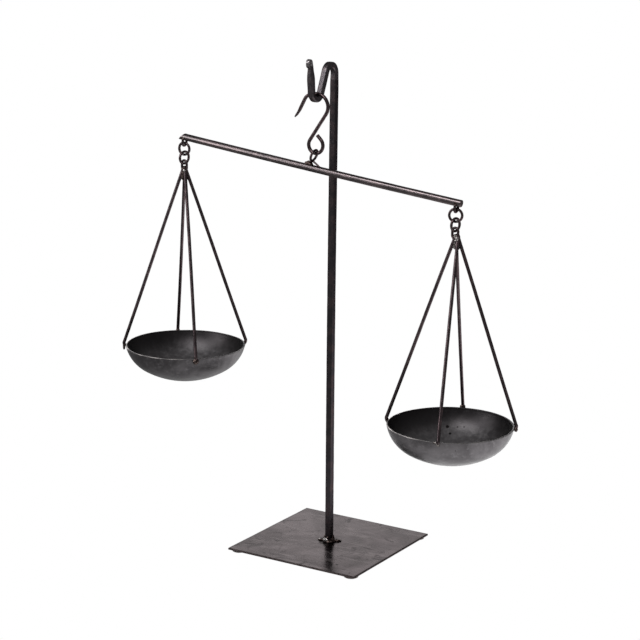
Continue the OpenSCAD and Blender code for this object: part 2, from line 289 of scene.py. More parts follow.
def lump(name, blobs, material, rough, voxel=0.28 * MM, rough_scale=1.3 * MM, seed=0, keep_out=None):
    """Weld metal: balls and ovals fused into one skin, with a rough surface.

    blobs lists (centre, (half-width along x, y, z), turn about Z in degrees)."""
    points, faces = [], []
    for centre, halves, turn in blobs:
        first = len(points)
        for r in range(BLOB_ROWS + 1):
            fall = math.pi * r / BLOB_ROWS
            for c in range(BLOB_COLUMNS):
                bearing = 2 * math.pi * c / BLOB_COLUMNS
                p = Vector((math.sin(fall) * math.cos(bearing) * halves[0],
                            math.sin(fall) * math.sin(bearing) * halves[1],
                            math.cos(fall) * halves[2]))
                points.append(Vector(centre) + Matrix.Rotation(math.radians(turn), 3, "Z") @ p)
        for r in range(BLOB_ROWS):
            for c in range(BLOB_COLUMNS):
                row = first + r * BLOB_COLUMNS
                a, b = row + c, row + (c + 1) % BLOB_COLUMNS
                faces.append((a, a + BLOB_COLUMNS, b + BLOB_COLUMNS, b))
    piece = new_piece(name, points, faces, material)
    remesh = piece.modifiers.new("fuse", "REMESH")
    remesh.mode = "VOXEL"
    remesh.voxel_size = voxel
    soften = piece.modifiers.new("soften", "SMOOTH")
    soften.factor = 0.6
    soften.iterations = 5
    evaluated = piece.evaluated_get(bpy.context.evaluated_depsgraph_get())
    mesh = bpy.data.meshes.new_from_object(evaluated)
    piece.modifiers.clear()
    piece.data = mesh
    mesh.name = name
    normals = [v.normal.copy() for v in mesh.vertices]
    for v, n in zip(mesh.vertices, normals):
        v.co += n * rough * rough_noise(v.co, rough_scale, seed)
        if keep_out:
            v.co = keep_out(v.co)
    mesh.shade_smooth()
    if not mesh.materials:
        mesh.materials.append(material)
    return piece


# ---- materials
class Nodes:
    """Short names for building a material's node tree."""

    def __init__(self, name):
        self.material = bpy.data.materials.new(name)
        self.material.use_nodes = True
        self.tree = self.material.node_tree
        self.shader = self.tree.nodes["Principled BSDF"]
        self.place = self.add("ShaderNodeTexCoord").outputs["Object"]

    def add(self, kind, inputs=(), **settings):
        node = self.tree.nodes.new(kind)
        for key, value in settings.items():
            setattr(node, key, value)
        for key, value in dict(inputs).items():
            node.inputs[key].default_value = value
        return node

    def link(self, source, target):
        self.tree.links.new(source, target)

    def stretched(self, scale, turn=(0, 0, 0)):
        rotation = [math.radians(t) for t in turn]
        mapping = self.add("ShaderNodeMapping", {"Scale": scale, "Rotation": rotation})
        self.link(self.place, mapping.inputs["Vector"])
        return mapping.outputs["Vector"]

    def noise(self, scale, detail=4, rough=0.55, place=None, distort=0.0):
        node = self.add("ShaderNodeTexNoise", {"Scale": scale, "Detail": detail, "Roughness": rough,
                                               "Distortion": distort})
        self.link(place or self.place, node.inputs["Vector"])
        return node.outputs["Fac"]

    def cells(self, scale):
        node = self.add("ShaderNodeTexVoronoi", {"Scale": scale})
        self.link(self.place, node.inputs["Vector"])
        return node.outputs["Distance"]

    def span(self, value, low, high, to_low=0.0, to_high=1.0):
        numbers = zip(RANGE_KEYS, (low, high, to_low, to_high))
        node = self.add("ShaderNodeMapRange", numbers, interpolation_type="SMOOTHSTEP")
        self.link(value, node.inputs["Value"])
        return node.outputs["Result"]

    def calc(self, kind, a, b):
        node = self.add("ShaderNodeMath", operation=kind)
        for socket, value in zip(node.inputs, (a, b)):
            if isinstance(value, (int, float)):
                socket.default_value = value
            else:
                self.link(value, socket)
        return node.outputs[0]

    def mix(self, share, a, b):
        node = self.add("ShaderNodeMix", data_type="RGBA")
        colours = [s for s in node.inputs if s.type == "RGBA"]
        self.link(share, node.inputs["Factor"])
        for socket, value in zip(colours, (a, b)):
            if isinstance(value, tuple):
                socket.default_value = (*value, 1)
            else:
                self.link(value, socket)
        return next(s for s in node.outputs if s.type == "RGBA")

    def distance(self, point):
        node = self.add("ShaderNodeVectorMath", {1: point}, operation="DISTANCE")
        self.link(self.place, node.inputs[0])
        return node.outputs["Value"]

    def attribute(self, name):
        return self.add("ShaderNodeAttribute", attribute_name=name).outputs["Fac"]

    def bump(self, height, strength, distance, under=None):
        node = self.add("ShaderNodeBump", {"Strength": strength, "Distance": distance})
        self.link(height, node.inputs["Height"])
        if under:
            self.link(under, node.inputs["Normal"])
        return node.outputs["Normal"]

    def finish(self, colour, roughness, normal, metallic=1.0, edge=0.35):
        self.link(colour, self.shader.inputs["Base Color"])
        self.link(roughness, self.shader.inputs["Roughness"])
        self.link(normal, self.shader.inputs["Normal"])
        self.shader.inputs["Metallic"].default_value = metallic
        self.shader.inputs["Specular Tint"].default_value = (edge, edge, edge, 1)
        return self.material


def blackened_iron(name, dark, brown, silver, rough=(0.3, 0.5), patch=140, grain=1500, dent=0.5,
                   silver_from=0.64, grit=0.1):
    """Forged iron blackened and waxed: dark grey, browner in patches, rubbed to silver in places.

    patch and grain are noise scales, dent and grit are the strengths of their bumps, and silver_from is
    the noise value from which the rubbed spots start."""
    m = Nodes(name)
    patches = m.noise(patch, 5, 0.6)
    fine = m.noise(grain, 5, 0.65)
    colour = m.mix(m.span(patches, 0.42, 0.62), dark, brown)
    spots = m.span(m.noise(patch * 2.3, 6, 0.7, distort=0.6), silver_from, silver_from + 0.14)
    rubbed_and_sheen = m.calc("MULTIPLY", spots, m.span(fine, 0.35, 0.65))
    colour = m.mix(rubbed_and_sheen, colour, silver)
    tone = m.calc("ADD", m.calc("MULTIPLY", patches, 0.5), m.calc("MULTIPLY", fine, 0.5))
    roughness = m.span(tone, 0.35, 0.65, rough[0], rough[1])
    broad = m.bump(m.noise(patch * 3, 3), dent, 0.35 * MM)
    normal = m.bump(fine, grit, 0.04 * MM, broad)
    return m.finish(colour, roughness, normal)


# Deep pits in the right pan: place and half-width, in mm
PAN_PITS = ((128.6, 10.8, 145.5, 2.0), (133.8, 6.8, 140.4, 1.7), (137.5, 15.0, 145.6, 0.9),
            (143.6, 17.3, 146.0, 0.9))


def pan_iron():
    """Pressed sheet: mottled charcoal, small pits, painted shade on the inner wall near the rim, a painted
    reflection that lightens the floor, and a lip with a little wear and a painted highlight.
    """
    m = Nodes("pan_iron")
    charcoal, grey, pale = (0.06, 0.056, 0.059), (0.1, 0.094, 0.098), (0.15, 0.142, 0.148)
    wall_shade_colour, floor_sheen_grey, bright = (0.022, 0.02, 0.021), (0.18, 0.172, 0.176), (0.9, 0.84, 0.82)
    cloud = m.noise(38, 6, 0.62, distort=0.4)
    mottle = m.noise(190, 5, 0.7)
    fine = m.noise(1300, 4, 0.7)
    colour = m.mix(m.span(cloud, 0.38, 0.66), charcoal, grey)
    colour = m.mix(m.span(mottle, 0.48, 0.8), colour, pale)
    # Painted shade: the inner wall is darkened towards the rim.
    colour = m.mix(m.span(m.attribute("wall_shade"), 0.0, 1.0, 0.0, 0.9), colour, wall_shade_colour)
    # Painted reflection: the inner floor is lightened towards the middle.
    rubbed_and_sheen = m.calc("MULTIPLY", m.attribute("rubbed_and_sheen"), m.span(mottle, 0.3, 0.7, 0.2, 0.6))
    colour = m.mix(rubbed_and_sheen, colour, floor_sheen_grey)
    for pit in PAN_PITS:
        place, width = Vector(pit[:3]) * MM, pit[3] * MM
        deep = m.span(m.distance(place), width * 0.6, width, 0.95, 0.0)
        colour = m.mix(deep, colour, (0.006, 0.005, 0.005))
    pits = m.span(m.cells(75), 0.0, 0.075, 1.0, 0.0)
    pits = m.calc("MULTIPLY", pits, m.span(m.noise(26, 2), 0.52, 0.58))
    colour = m.mix(pits, colour, (0.008, 0.007, 0.007))
    # The lip's bright line: a little wear all round and a painted highlight on one side.
    edge_wear_and_lip_highlight = m.calc("MULTIPLY", m.attribute("edge_wear_and_lip_highlight"), m.span(m.noise(24, 4, 0.6), 0.4, 0.6, 0.1, 1.0))
    colour = m.mix(edge_wear_and_lip_highlight, colour, bright)
    roughness = m.span(mottle, 0.35, 0.7, 0.38, 0.5)
    shape = m.bump(cloud, 0.25, 0.6 * MM)
    pitted = m.bump(m.calc("SUBTRACT", m.calc("MULTIPLY", fine, 0.4), pits), 0.5, 0.12 * MM, shape)
    return m.finish(colour, roughness, pitted, edge=0.72)


# Places of two dark spots near the plate's front corner, in mm, and their inner and outer radii
PLATE_SPOTS = ((43, -55, 4), (38, -57, 4))
SPOT_R = (0.9 * MM, 2.0 * MM)
# Radii between which the heat stain round the post fades, and how far its edge wanders
STAIN_R = (10.5 * MM, 13.5 * MM)
STAIN_WANDER = 1.5 * MM


def plate_iron():
    """Waxed sheet: warm grey with rolling streaks, cloudy stains, dark worn edges."""
    m = Nodes("base_iron")
    streaks = m.noise(60, 6, 0.6, place=m.stretched((0.35, 1.6, 1), turn=(0, 0, 24)), distort=0.5)
    cloud = m.noise(22, 5, 0.6, distort=0.8)
    fine = m.noise(900, 4, 0.7)
    colour = m.mix(m.span(cloud, 0.36, 0.66), (0.05, 0.042, 0.043), (0.082, 0.069, 0.071))
    colour = m.mix(m.span(streaks, 0.5, 0.72), colour, (0.12, 0.103, 0.105))
    colour = m.mix(m.span(m.noise(45, 5, 0.7, distort=1.2), 0.56, 0.66), colour, (0.034, 0.028, 0.029))
    edge_wear_and_lip_highlight = m.calc("MULTIPLY", m.attribute("edge_wear_and_lip_highlight"), m.span(m.noise(120, 4, 0.6), 0.25, 0.55, 0.55, 1.0))
    colour = m.mix(edge_wear_and_lip_highlight, colour, (0.028, 0.022, 0.022))
    wander = m.span(m.noise(160, 3), 0.3, 0.7, -STAIN_WANDER, STAIN_WANDER)
    stain = m.calc("ADD", m.distance((0, 0, 4 * MM)), wander)
    colour = m.mix(m.span(stain, *STAIN_R, 0.9, 0.0), colour, (0.02, 0.016, 0.016))
    for spot in PLATE_SPOTS:
        dark = m.span(m.distance(Vector(spot) * MM), *SPOT_R, 1.0, 0.0)
        colour = m.mix(dark, colour, (0.012, 0.01, 0.01))
    roughness = m.span(streaks, 0.3, 0.7, 0.17, 0.3)
    wave = m.bump(m.noise(16, 3), 0.3, 0.5 * MM)
    brushed = m.bump(streaks, 0.25, 0.05 * MM, wave)
    normal = m.bump(fine, 0.2, 0.03 * MM, brushed)
    return m.finish(colour, roughness, normal, edge=0.53)


def weld_metal(name, dark, bright, share):
    """Weld bead: silver crests over brown and black scale."""
    m = Nodes(name)
    spots = m.noise(420, 5, 0.7, distort=0.5)
    fine = m.noise(1900, 4, 0.7)
    colour = m.mix(m.span(spots, share - 0.1, share + 0.1), dark, bright)
    roughness = m.span(spots, 0.35, 0.7, 0.42, 0.24)
    normal = m.bump(fine, 0.4, 0.08 * MM, m.bump(spots, 0.6, 0.4 * MM))
    return m.finish(colour, roughness, normal, edge=0.6)


def foot_pad():
    """Pressed dark-brown pad with a felty surface."""
    m = Nodes("foot_pad")
    fine = m.noise(1400, 4, 0.7)
    colour = m.mix(m.span(fine, 0.35, 0.7), (0.018, 0.012, 0.011), (0.05, 0.036, 0.032))
    roughness = m.span(m.noise(300, 3), 0.3, 0.7, 0.6, 0.85)
    return m.finish(colour, roughness, m.bump(fine, 0.5, 0.15 * MM), metallic=0.0, edge=1.0)


bar_iron = blackened_iron("bar_iron", (0.034, 0.031, 0.034), (0.048, 0.038, 0.04), (0.14, 0.128, 0.132),
                          rough=(0.3, 0.42), dent=0.3)
hook_iron = blackened_iron("hook_iron", (0.055, 0.05, 0.054), (0.08, 0.067, 0.07), (0.19, 0.175, 0.185),
                           rough=(0.26, 0.38), patch=200, dent=0.4, silver_from=0.58)
# A lighter, more silver iron for the rolled tip: a painted highlight on the knob.
tip_highlight_iron = blackened_iron("tip_highlight_iron", (0.1, 0.09, 0.095), (0.16, 0.145, 0.15), (0.5, 0.48, 0.48),
                          rough=(0.22, 0.34), patch=300, dent=0.6, silver_from=0.46)
wire_iron = blackened_iron("wire_iron", (0.05, 0.038, 0.04), (0.075, 0.052, 0.054), (0.24, 0.21, 0.21),
                           rough=(0.22, 0.38), patch=260, silver_from=0.58)
beam_iron = blackened_iron("beam_iron", (0.085, 0.073, 0.075), (0.12, 0.098, 0.1), (0.17, 0.15, 0.152),
                           rough=(0.21, 0.28), patch=60, grain=260, dent=0.1, silver_from=0.62, grit=0.0)
rod_iron = blackened_iron("rod_iron", (0.05, 0.039, 0.042), (0.08, 0.059, 0.062), (0.18, 0.16, 0.165),
                          rough=(0.26, 0.36), patch=120, dent=0.2, silver_from=0.6, grit=0.05)
bowl_iron = pan_iron()
sheet_iron = plate_iron()
bright_weld = weld_metal("bright_weld", (0.07, 0.063, 0.063), (0.42, 0.4, 0.39), 0.45)
brown_weld = weld_metal("brown_weld", (0.022, 0.015, 0.014), (0.13, 0.1, 0.09), 0.55)
grey_weld = weld_metal("grey_weld", (0.03, 0.024, 0.023), (0.3, 0.28, 0.27), 0.54)
pad = foot_pad()

# ---- post and its hook
BAR = 6 * MM
# Radii of the bends, on the bar's centre line
ARCH_R = 8.7 * MM
HOOK_R = 8.7 * MM
# The bar is hammered a little wider than its stock size
BAR_SEEN = 6.25 * MM
# Height of the S-hook's wire centre above the bar that it hangs on
S_HOOK_SINK = 2.27 * MM
# The leg that falls from the arch to the hook, and the one that rises to the tip: lean and length
LEG_LEAN = 23
LEG_LEN = 21.7 * MM
RISE_LEAN = 5
RISE_LEN = 28.5 * MM
# The rolled tip: its bend, how far it comes down again and its width
SCROLL_R = 1.9 * MM
SCROLL_DROP = 2.6 * MM
TIP = 4.3 * MM
# Length of the bar's top that takes the tip's lighter iron, a painted highlight
TIP_LEN = 6.5 * MM
# How far the long upright is bowed, and where below the arch's centre its darker finish starts
POST_BOW = 0.7 * MM
DARK_FROM = 6 * MM


def make_post():
    base_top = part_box("post")[0].z
    lean = math.radians(LEG_LEAN)
    hook_z = hook_seat.z - S_HOOK_SINK - BAR / 2 + HOOK_R
    arch_z = hook_z + LEG_LEN * math.cos(lean) - (HOOK_R + ARCH_R) * math.sin(lean)
    moves = [("line", arch_z - base_top), ("arc", ARCH_R, 180 - LEG_LEAN), ("line", LEG_LEN),
             ("arc", HOOK_R, -(180 - LEG_LEAN - RISE_LEAN)), ("line", RISE_LEN),
             ("arc", SCROLL_R, 180), ("line", SCROLL_DROP), ("arc", SCROLL_R * 0.8, 75)]
    flat, walked = walk((0, base_top), 90, moves)
    lengths = [m[1] if m[0] == "line" else m[1] * math.radians(abs(m[2])) for m in moves]
    s = np.cumsum([0, *lengths])
    half = BAR_SEEN / 2
    in_plane = blend_along(walked, (0, half), (s[1] - 6 * MM, half), (s[2], half * 1.02), (s[4], half),
                           (s[4] + RISE_LEN * 0.4, half), (s[4] + RISE_LEN * 0.85, half * 0.78),
                           (s[5], half * 0.5), (s[6], half * 0.44), (s[8], half * 0.4))
    across = blend_along(walked, (0, half), (s[1] - 6 * MM, half), (s[2], half * 1.02), (s[4], half),
                         (s[4] + RISE_LEN * 0.4, half * 1.04), (s[4] + RISE_LEN * 0.9, TIP / 2),
                         (s[5], TIP / 2), (s[8], TIP / 2 * 0.95))
    corner = blend_along(walked, (0, 0.1), (s[1] - 14 * MM, 0.12), (s[1] + 6 * MM, 0.4), (s[2], 0.5),
                         (s[3], 0.55), (s[4], 0.5), (s[5], 0.45), (s[-1], 0.4))
    line = [(-POST_BOW * math.sin(math.pi * min(1, w / s[1])), p[0], p[1]) for p, w in zip(flat, walked)]
    post = sweep("post_bar", line, (1, 0, 0), in_plane, across, hook_iron, corner, around=40,
                 lumps=[(0.09, 7, 1), (0.025, 2, 2)], round_end=0.3 * MM)
    post.data.materials.append(bar_iron)
    post.data.materials.append(tip_highlight_iron)
    hook_out = -3 * BAR
    # Faces near the top of the rising leg take the lighter iron, a painted highlight on the knob.
    tip_from = max(v.co.z for v in post.data.vertices if v.co.y < hook_out) - TIP_LEN
    for face in post.data.polygons:
        if face.center.z < arch_z - DARK_FROM and abs(face.center.y) < BAR:
            face.material_index = 1
        elif face.center.z > tip_from and face.center.y < hook_out:
            face.material_index = 2
    place_piece(post, "stand", "bar_iron", "post")


make_post()

# ---- S-hook
S_WIRE = 3.4 * MM
S_TOP_R = 12.2 * MM
S_LOOP_R = 8.1 * MM
S_HEIGHT = 58.1 * MM
S_TOP_X = 1.2 * MM
# Bearing at which the lower loop's closed end stops, and the straight end beyond it
S_END_ANGLE = 45
S_END_LEN = 5.5 * MM


def make_s_hook():
    top = np.array([S_TOP_X, hook_seat.z - S_TOP_R])
    loop = np.array([0, hook_seat.z - S_HEIGHT + S_LOOP_R])
    axis = top - loop
    radii = S_TOP_R + S_LOOP_R
    slope = math.degrees(math.atan2(axis[1], axis[0]) - math.asin(radii / np.linalg.norm(axis)))
    straight = math.sqrt(axis @ axis - radii ** 2)
    end_angle = math.radians(S_END_ANGLE)
    start = (loop + S_LOOP_R * np.array([math.cos(end_angle), math.sin(end_angle)])
             + S_END_LEN * np.array([-math.sin(end_angle), math.cos(end_angle)]))
    moves = [("line", S_END_LEN), ("arc", S_LOOP_R, -(270 + S_END_ANGLE - slope)), ("line", straight),
             ("arc", S_TOP_R, 190 - slope), ("line", 5 * MM), ("arc", 10 * MM, 52), ("line", 12 * MM),
             ("arc", 30 * MM, -15), ("line", 1.2 * MM)]
    flat, walked = walk(start, S_END_ANGLE - 90, moves)
    total = walked[-1]
    half = S_WIRE / 2
    thick = blend_along(walked, (0, half), (total - 12 * MM, half), (total - 3 * MM, half * 0.72),
                        (total, half * 0.42))
    line = [(p[0], hook_seat.y, p[1]) for p in flat]
    wire = sweep("s_hook_wire", line, (0, 1, 0), thick, thick * 1.02, wire_iron, 0.92,
                 lumps=[(0.08, 3, 11), (0.03, 1.1, 12)], round_start=0.35 * MM,
                 round_end=0.45 * MM)
    place_piece(wire, "s_hook", "wire_iron", "s_hook")


make_s_hook()

# ---- beam
BEAM_D = 6.8 * MM
# Forging has thickened the bar by this factor
BEAM_SWELL = 1.03
BEAM_SAG = 0.7 * MM
BEAM_STEPS = 150
# Depth of the end eyes' lower wire below the beam's centre line
END_DROP = 9 * MM
LEFT_OVERHANG = 6.1 * MM
RIGHT_OVERHANG = 4.4 * MM
# Length of the slanting cut at the left end, and how little the cut takes off its lower edge
CHISEL_LEN = 6.5 * MM
CHISEL_NOSE = 0.4 * MM


def on_beam(along, side, up):
    """A point by its place along the beam from its pivot's foot, across it and above its centre line."""
    return beam_origin + beam_along * along + Vector((0, side, 0)) + beam_up * up


left_end = hang["left"] + beam_up * END_DROP
right_end = hang["right"] + beam_up * END_DROP
beam_origin = left_end + beam_along * (pivot - left_end).dot(beam_along)


def make_beam():
    first = left_end - beam_along * LEFT_OVERHANG
    last = right_end + beam_along * RIGHT_OVERHANG
    length = (last - first).length
    line = [first + beam_along * (length * i / BEAM_STEPS)
            - beam_up * (BEAM_SAG * math.sin(math.pi * i / BEAM_STEPS)) for i in range(BEAM_STEPS + 1)]
    half = BEAM_D / 2 * BEAM_SWELL
    beam = sweep("beam_bar", line, (0, 1, 0), half, half, beam_iron, 0.97, around=28,
                 lumps=[(0.07, 14, 21), (0.012, 3, 22)], round_start=0.25 * MM,
                 round_end=0.6 * MM)
    # The left end's upper edge is set back
    for v in beam.data.vertices:
        along = (v.co - first).dot(beam_along)
        up = (v.co - first).dot(beam_up)
        back = CHISEL_LEN * (up / half * 0.5 + 0.5) - CHISEL_NOSE
        if along < CHISEL_LEN:
            v.co += beam_along * max(0.0, back) * (1 - max(0.0, along) / CHISEL_LEN)
    place_piece(beam, "beam", "bar_iron", "beam")


make_beam()

# ---- eyes, rings and loops
RING_WIRE = 2.5 * MM
EYE_D = 13.8 * MM
EYE_LEAN = 14
# Places of the centre eye's two feet along the beam, from the point below the pivot
EYE_FEET = (-7.2 * MM + 1.3 * MM, 4.6 * MM + 1.3 * MM)
# Distance between an end eye's legs, and how deep they run into the beam's side
END_EYE_W = 6.4 * MM
EYE_LEG_SHORT = 1.5 * MM
RING_POINTS = 56
# Seeds of the upper and the lower ring's unevenness
RING_SEEDS = {"left": (1, 4), "right": (2, 5)}


def ring_line(centre, radius, across, up, squeeze=1.0, seed=0):
    """A hand-bent ring: a circle, a little out of true."""
    points = []
    for i in range(RING_POINTS):
        turn = 2 * math.pi * i / RING_POINTS
        size = radius * (1 + 0.012 * math.sin(2 * turn + seed) + 0.008 * math.sin(3 * turn + 2 * seed))
        points.append(centre + across * (size * squeeze * math.cos(turn)) + up * (size * math.sin(turn)))
    return points


def make_ring(side, level, seed):
    """A ring that hangs plumb in the plane that its CAD solid lies in."""
    node = "%s_%s_ring" % (side, level)
    co = np.array([v.co for v in nodes[node].data.vertices])
    middle = (co.min(0) + co.max(0)) / 2
    normal = np.linalg.svd(co - co.mean(0), full_matrices=False)[2][2]
    across = UP.cross(Vector(normal)).normalized()
    thick = RING_WIRE / 2
    radius = size_of(node).z / 2 - thick
    line = ring_line(Vector(middle), radius, across, UP, seed=seed)
    ring = sweep("%s_ring_%s" % (side, level), line, normal, thick, thick, wire_iron, 0.92,
                 closed=True, lumps=[(0.07, 2.4, 30 + seed), (0.03, 0.9, 31 + seed)])
    place_piece(ring, node, "wire_iron", node)


def make_centre_eye():
    """A ring across the beam with two legs that splay along it."""
    lean = Matrix.Rotation(math.radians(EYE_LEAN), 3, "Y")
    up = lean @ beam_up
    radius = EYE_D / 2 - RING_WIRE / 2
    centre = pivot - up * radius
    ring = sweep("centre_eye_ring", ring_line(centre, radius, Vector((0, 1, 0)), up, 0.94, seed=3),
                 up.cross(Vector((0, 1, 0))), RING_WIRE / 2 * 0.97, RING_WIRE / 2 * 0.97, wire_iron, 0.92,
                 closed=True, lumps=[(0.08, 2.4, 41), (0.03, 0.9, 42)])
    place_piece(ring, "beam", "wire_iron", "center_eye")
    neck = pivot - up * (2 * radius)
    count = 14
    for i, foot in enumerate(EYE_FEET):
        foot_at = on_beam(foot, 0, BEAM_D / 2 - 0.9 * MM)
        knee = neck.lerp(foot_at, 0.45) + beam_up * 0.25 * MM
        line = [neck.lerp(knee, k / count).lerp(knee.lerp(foot_at, k / count), k / count)
                for k in range(count + 1)]
        thin = np.linspace(RING_WIRE * 0.42, RING_WIRE * 0.33, len(line))
        leg = sweep("centre_eye_foot_%d" % (i + 1), line, (0, 1, 0), thin, thin, wire_iron, 0.88,
                    around=16, lumps=[(0.06, 1.5, 45 + i)], round_end=0.3 * MM)
        place_piece(leg, "beam", "wire_iron")


def make_end_eye(side):
    """A U of wire across the beam's underside."""
    node = side + "_end_eye"
    bottom = hang[side]
    turn_r = END_EYE_W / 2
    leg = END_DROP - turn_r - EYE_LEG_SHORT
    moves = [("line", leg), ("arc", turn_r, 180), ("line", leg)]
    flat, walked = walk((-turn_r, turn_r + leg), -90, moves, step=0.5 * MM)
    line = [bottom + Vector((0, p[0], 0)) + beam_up * p[1] for p in flat]
    thick = blend_along(walked, (0, RING_WIRE / 2 * 1.05), (walked[-1] / 2, RING_WIRE / 2 * 0.98),
                        (walked[-1], RING_WIRE / 2 * 1.05))
    eye = sweep(side + "_eye_wire", line, beam_along, thick, thick, wire_iron, 0.88,
                lumps=[(0.08, 2, 51), (0.03, 0.9, 52)])
    place_piece(eye, "beam", "wire_iron", node)


def make_top_loop(side):
    """The long link at the top of a hanger."""
    node = side + "_top_loop"
    co = np.array([v.co for v in nodes[node].data.vertices])
    middle = Vector((co.min(0) + co.max(0)) / 2)
    normal = Vector(next(j["axis"] for j in frame["joints"] if j["name"] == side + "_pan_swing"))
    across = UP.cross(normal).normalized()
    height = size_of(node).z
    reach = (co - np.array(middle)) @ np.array(across)
    width = reach.max() - reach.min()
    arc = width / 2 - RING_WIRE / 2
    straight = height - width
    moves = [("line", straight), ("arc", arc, 180)] * 2
    flat, _ = walk((arc, -straight / 2), 90, moves, step=0.6 * MM)
    line = [middle + across * p[0] + UP * p[1] for p in flat[:-1]]
    thick = RING_WIRE / 2
    loop = sweep(side + "_loop_wire", line, normal, thick, thick, wire_iron, 0.92, closed=True,
                 lumps=[(0.08, 2.2, 55), (0.03, 0.9, 56)])
    place_piece(loop, side + "_pan", "wire_iron", node)


make_centre_eye()
for side in SIDES:
    make_end_eye(side)
    for level, seed in zip(("upper", "lower"), RING_SEEDS[side]):
        make_ring(side, level, seed)
    make_top_loop(side)

# ---- hanger rods
ROD_D = 3.35 * MM
# How far a rod runs up into its weld, how high above the rim it bends, and how far its tail comes down
ROD_IN_WELD = 4.6 * MM
BEND_ABOVE = 2.2 * MM
TAIL_DROP = 4.6 * MM
ROD_STEPS, TAIL_STEPS = 60, 7
# Greatest bow of a rod, sideways and outwards
ROD_BOW = 0.35 * MM
ROD_WAVE = 0.12 * MM
# Curve of a bowl's floor, and the radius out to which it reaches
FLOOR_R = 86 * MM
FLOOR_REACH = 44 * MM


def bowl_radius(side, depth):
    """Outer radius of a bowl at a depth below its rim."""
    rim, full = size_of(side + "_pan").x / 2, size_of(side + "_pan").z
    outline = bowl_outline(rim, full, 0)
    return float(np.interp(-depth, outline[:, 1], outline[:, 0]))


def bowl_outline(rim, depth, inset, steps=14):
    """A bowl's side view as [radius, height from the rim]: a shallow floor and a tighter side."""
    floor_c = np.array([0, FLOOR_R - depth])
    turn = math.asin(FLOOR_REACH / FLOOR_R)
    joint = floor_c + FLOOR_R * np.array([math.sin(turn), -math.cos(turn)])
    to_rim = joint - np.array([rim, 0])
    inward = np.array([-math.sin(turn), math.cos(turn)])
    side_r = -(to_rim @ to_rim) / (2 * (to_rim @ inward))
    side_c = joint + side_r * inward
    end = math.atan2(-side_c[1] - inset, rim - side_c[0]) + math.pi / 2
    points = []
    for a in (turn * i / steps for i in range(steps)):
        points.append(floor_c + (FLOOR_R - inset) * np.array([math.sin(a), -math.cos(a)]))
    for a in (turn + (end - turn) * i / steps for i in range(steps + 1)):
        points.append(side_c + (side_r - inset) * np.array([math.sin(a), -math.cos(a)]))
    return np.array(points)


def make_rod(side, index):
    """A straight rod that bends at the rim, its tail along the bowl's side. Returns its bearing."""
    node = "%s_rod_%d" % (side, index)
    top, foot = axis_ends(node)
    rim_centre = centre_of(side + "_pan")
    rim_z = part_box(side + "_pan")[1].z
    out = Vector((foot.x - rim_centre.x, foot.y - rim_centre.y, 0)).normalized()
    along = (foot - top).normalized()
    bend = top + along * ((rim_z + BEND_ABOVE - top.z) / along.z)
    rows = [top - along * ROD_IN_WELD]
    bow = ROD_BOW * math.sin(1.7 * index + (0 if side == "left" else 2))
    sideways = Vector((-out.y, out.x, 0))
    for i in range(1, ROD_STEPS + 1):
        share = i / ROD_STEPS
        rows.append(top.lerp(bend, share) + sideways * bow * math.sin(math.pi * share)
                    + out * ROD_WAVE * math.sin(2 * math.pi * share))
    for i in range(1, TAIL_STEPS + 1):
        drop = TAIL_DROP * i / TAIL_STEPS
        z = bend.z - drop
        depth = max(0.0, rim_z - z)
        radius = bowl_radius(side, depth) + ROD_D / 2 - 0.1 * MM
        straight = bend + along * (drop / -along.z)
        lying = Vector((rim_centre.x, rim_centre.y, 0)) + out * radius
        share = min(1.0, i / 3)
        rows.append(Vector((straight.x * (1 - share) + lying.x * share,
                            straight.y * (1 - share) + lying.y * share, z)))
    thick = np.full(len(rows), ROD_D / 2)
    thick[-3:] *= np.array([0.99, 0.95, 0.86])
    rod = sweep("%s_hanger_rod_%d" % (side, index), rows, out.cross(UP), thick, thick, rod_iron, 0.97,
                lumps=[(0.06, 9, 60 + index), (0.015, 2.5, 65 + index)],
                round_start=0.2 * MM, round_end=0.5 * MM)
    place_piece(rod, side + "_pan", "rod_iron", node)
    return out


rod_bearings = {side: [make_rod(side, i) for i in range(1, 5)] for side in SIDES}

# ---- pans
PAN_T = 1.5 * MM
PAN_AROUND = 160
LIP_STEPS = 5
# Bearing at which each pan's lip is brightest, where its painted highlight falls
LIP_HIGHLIGHT_FROM = {"left": -120, "right": -135}
# Radii, as shares of the rim's, between which the inside turns from the floor's painted reflection to the
# wall's painted shade
WALL_SHADE_FROM, WALL_SHADE_TO = 0.64, 0.96
PAN_SEEDS = {"left": 71, "right": 74}


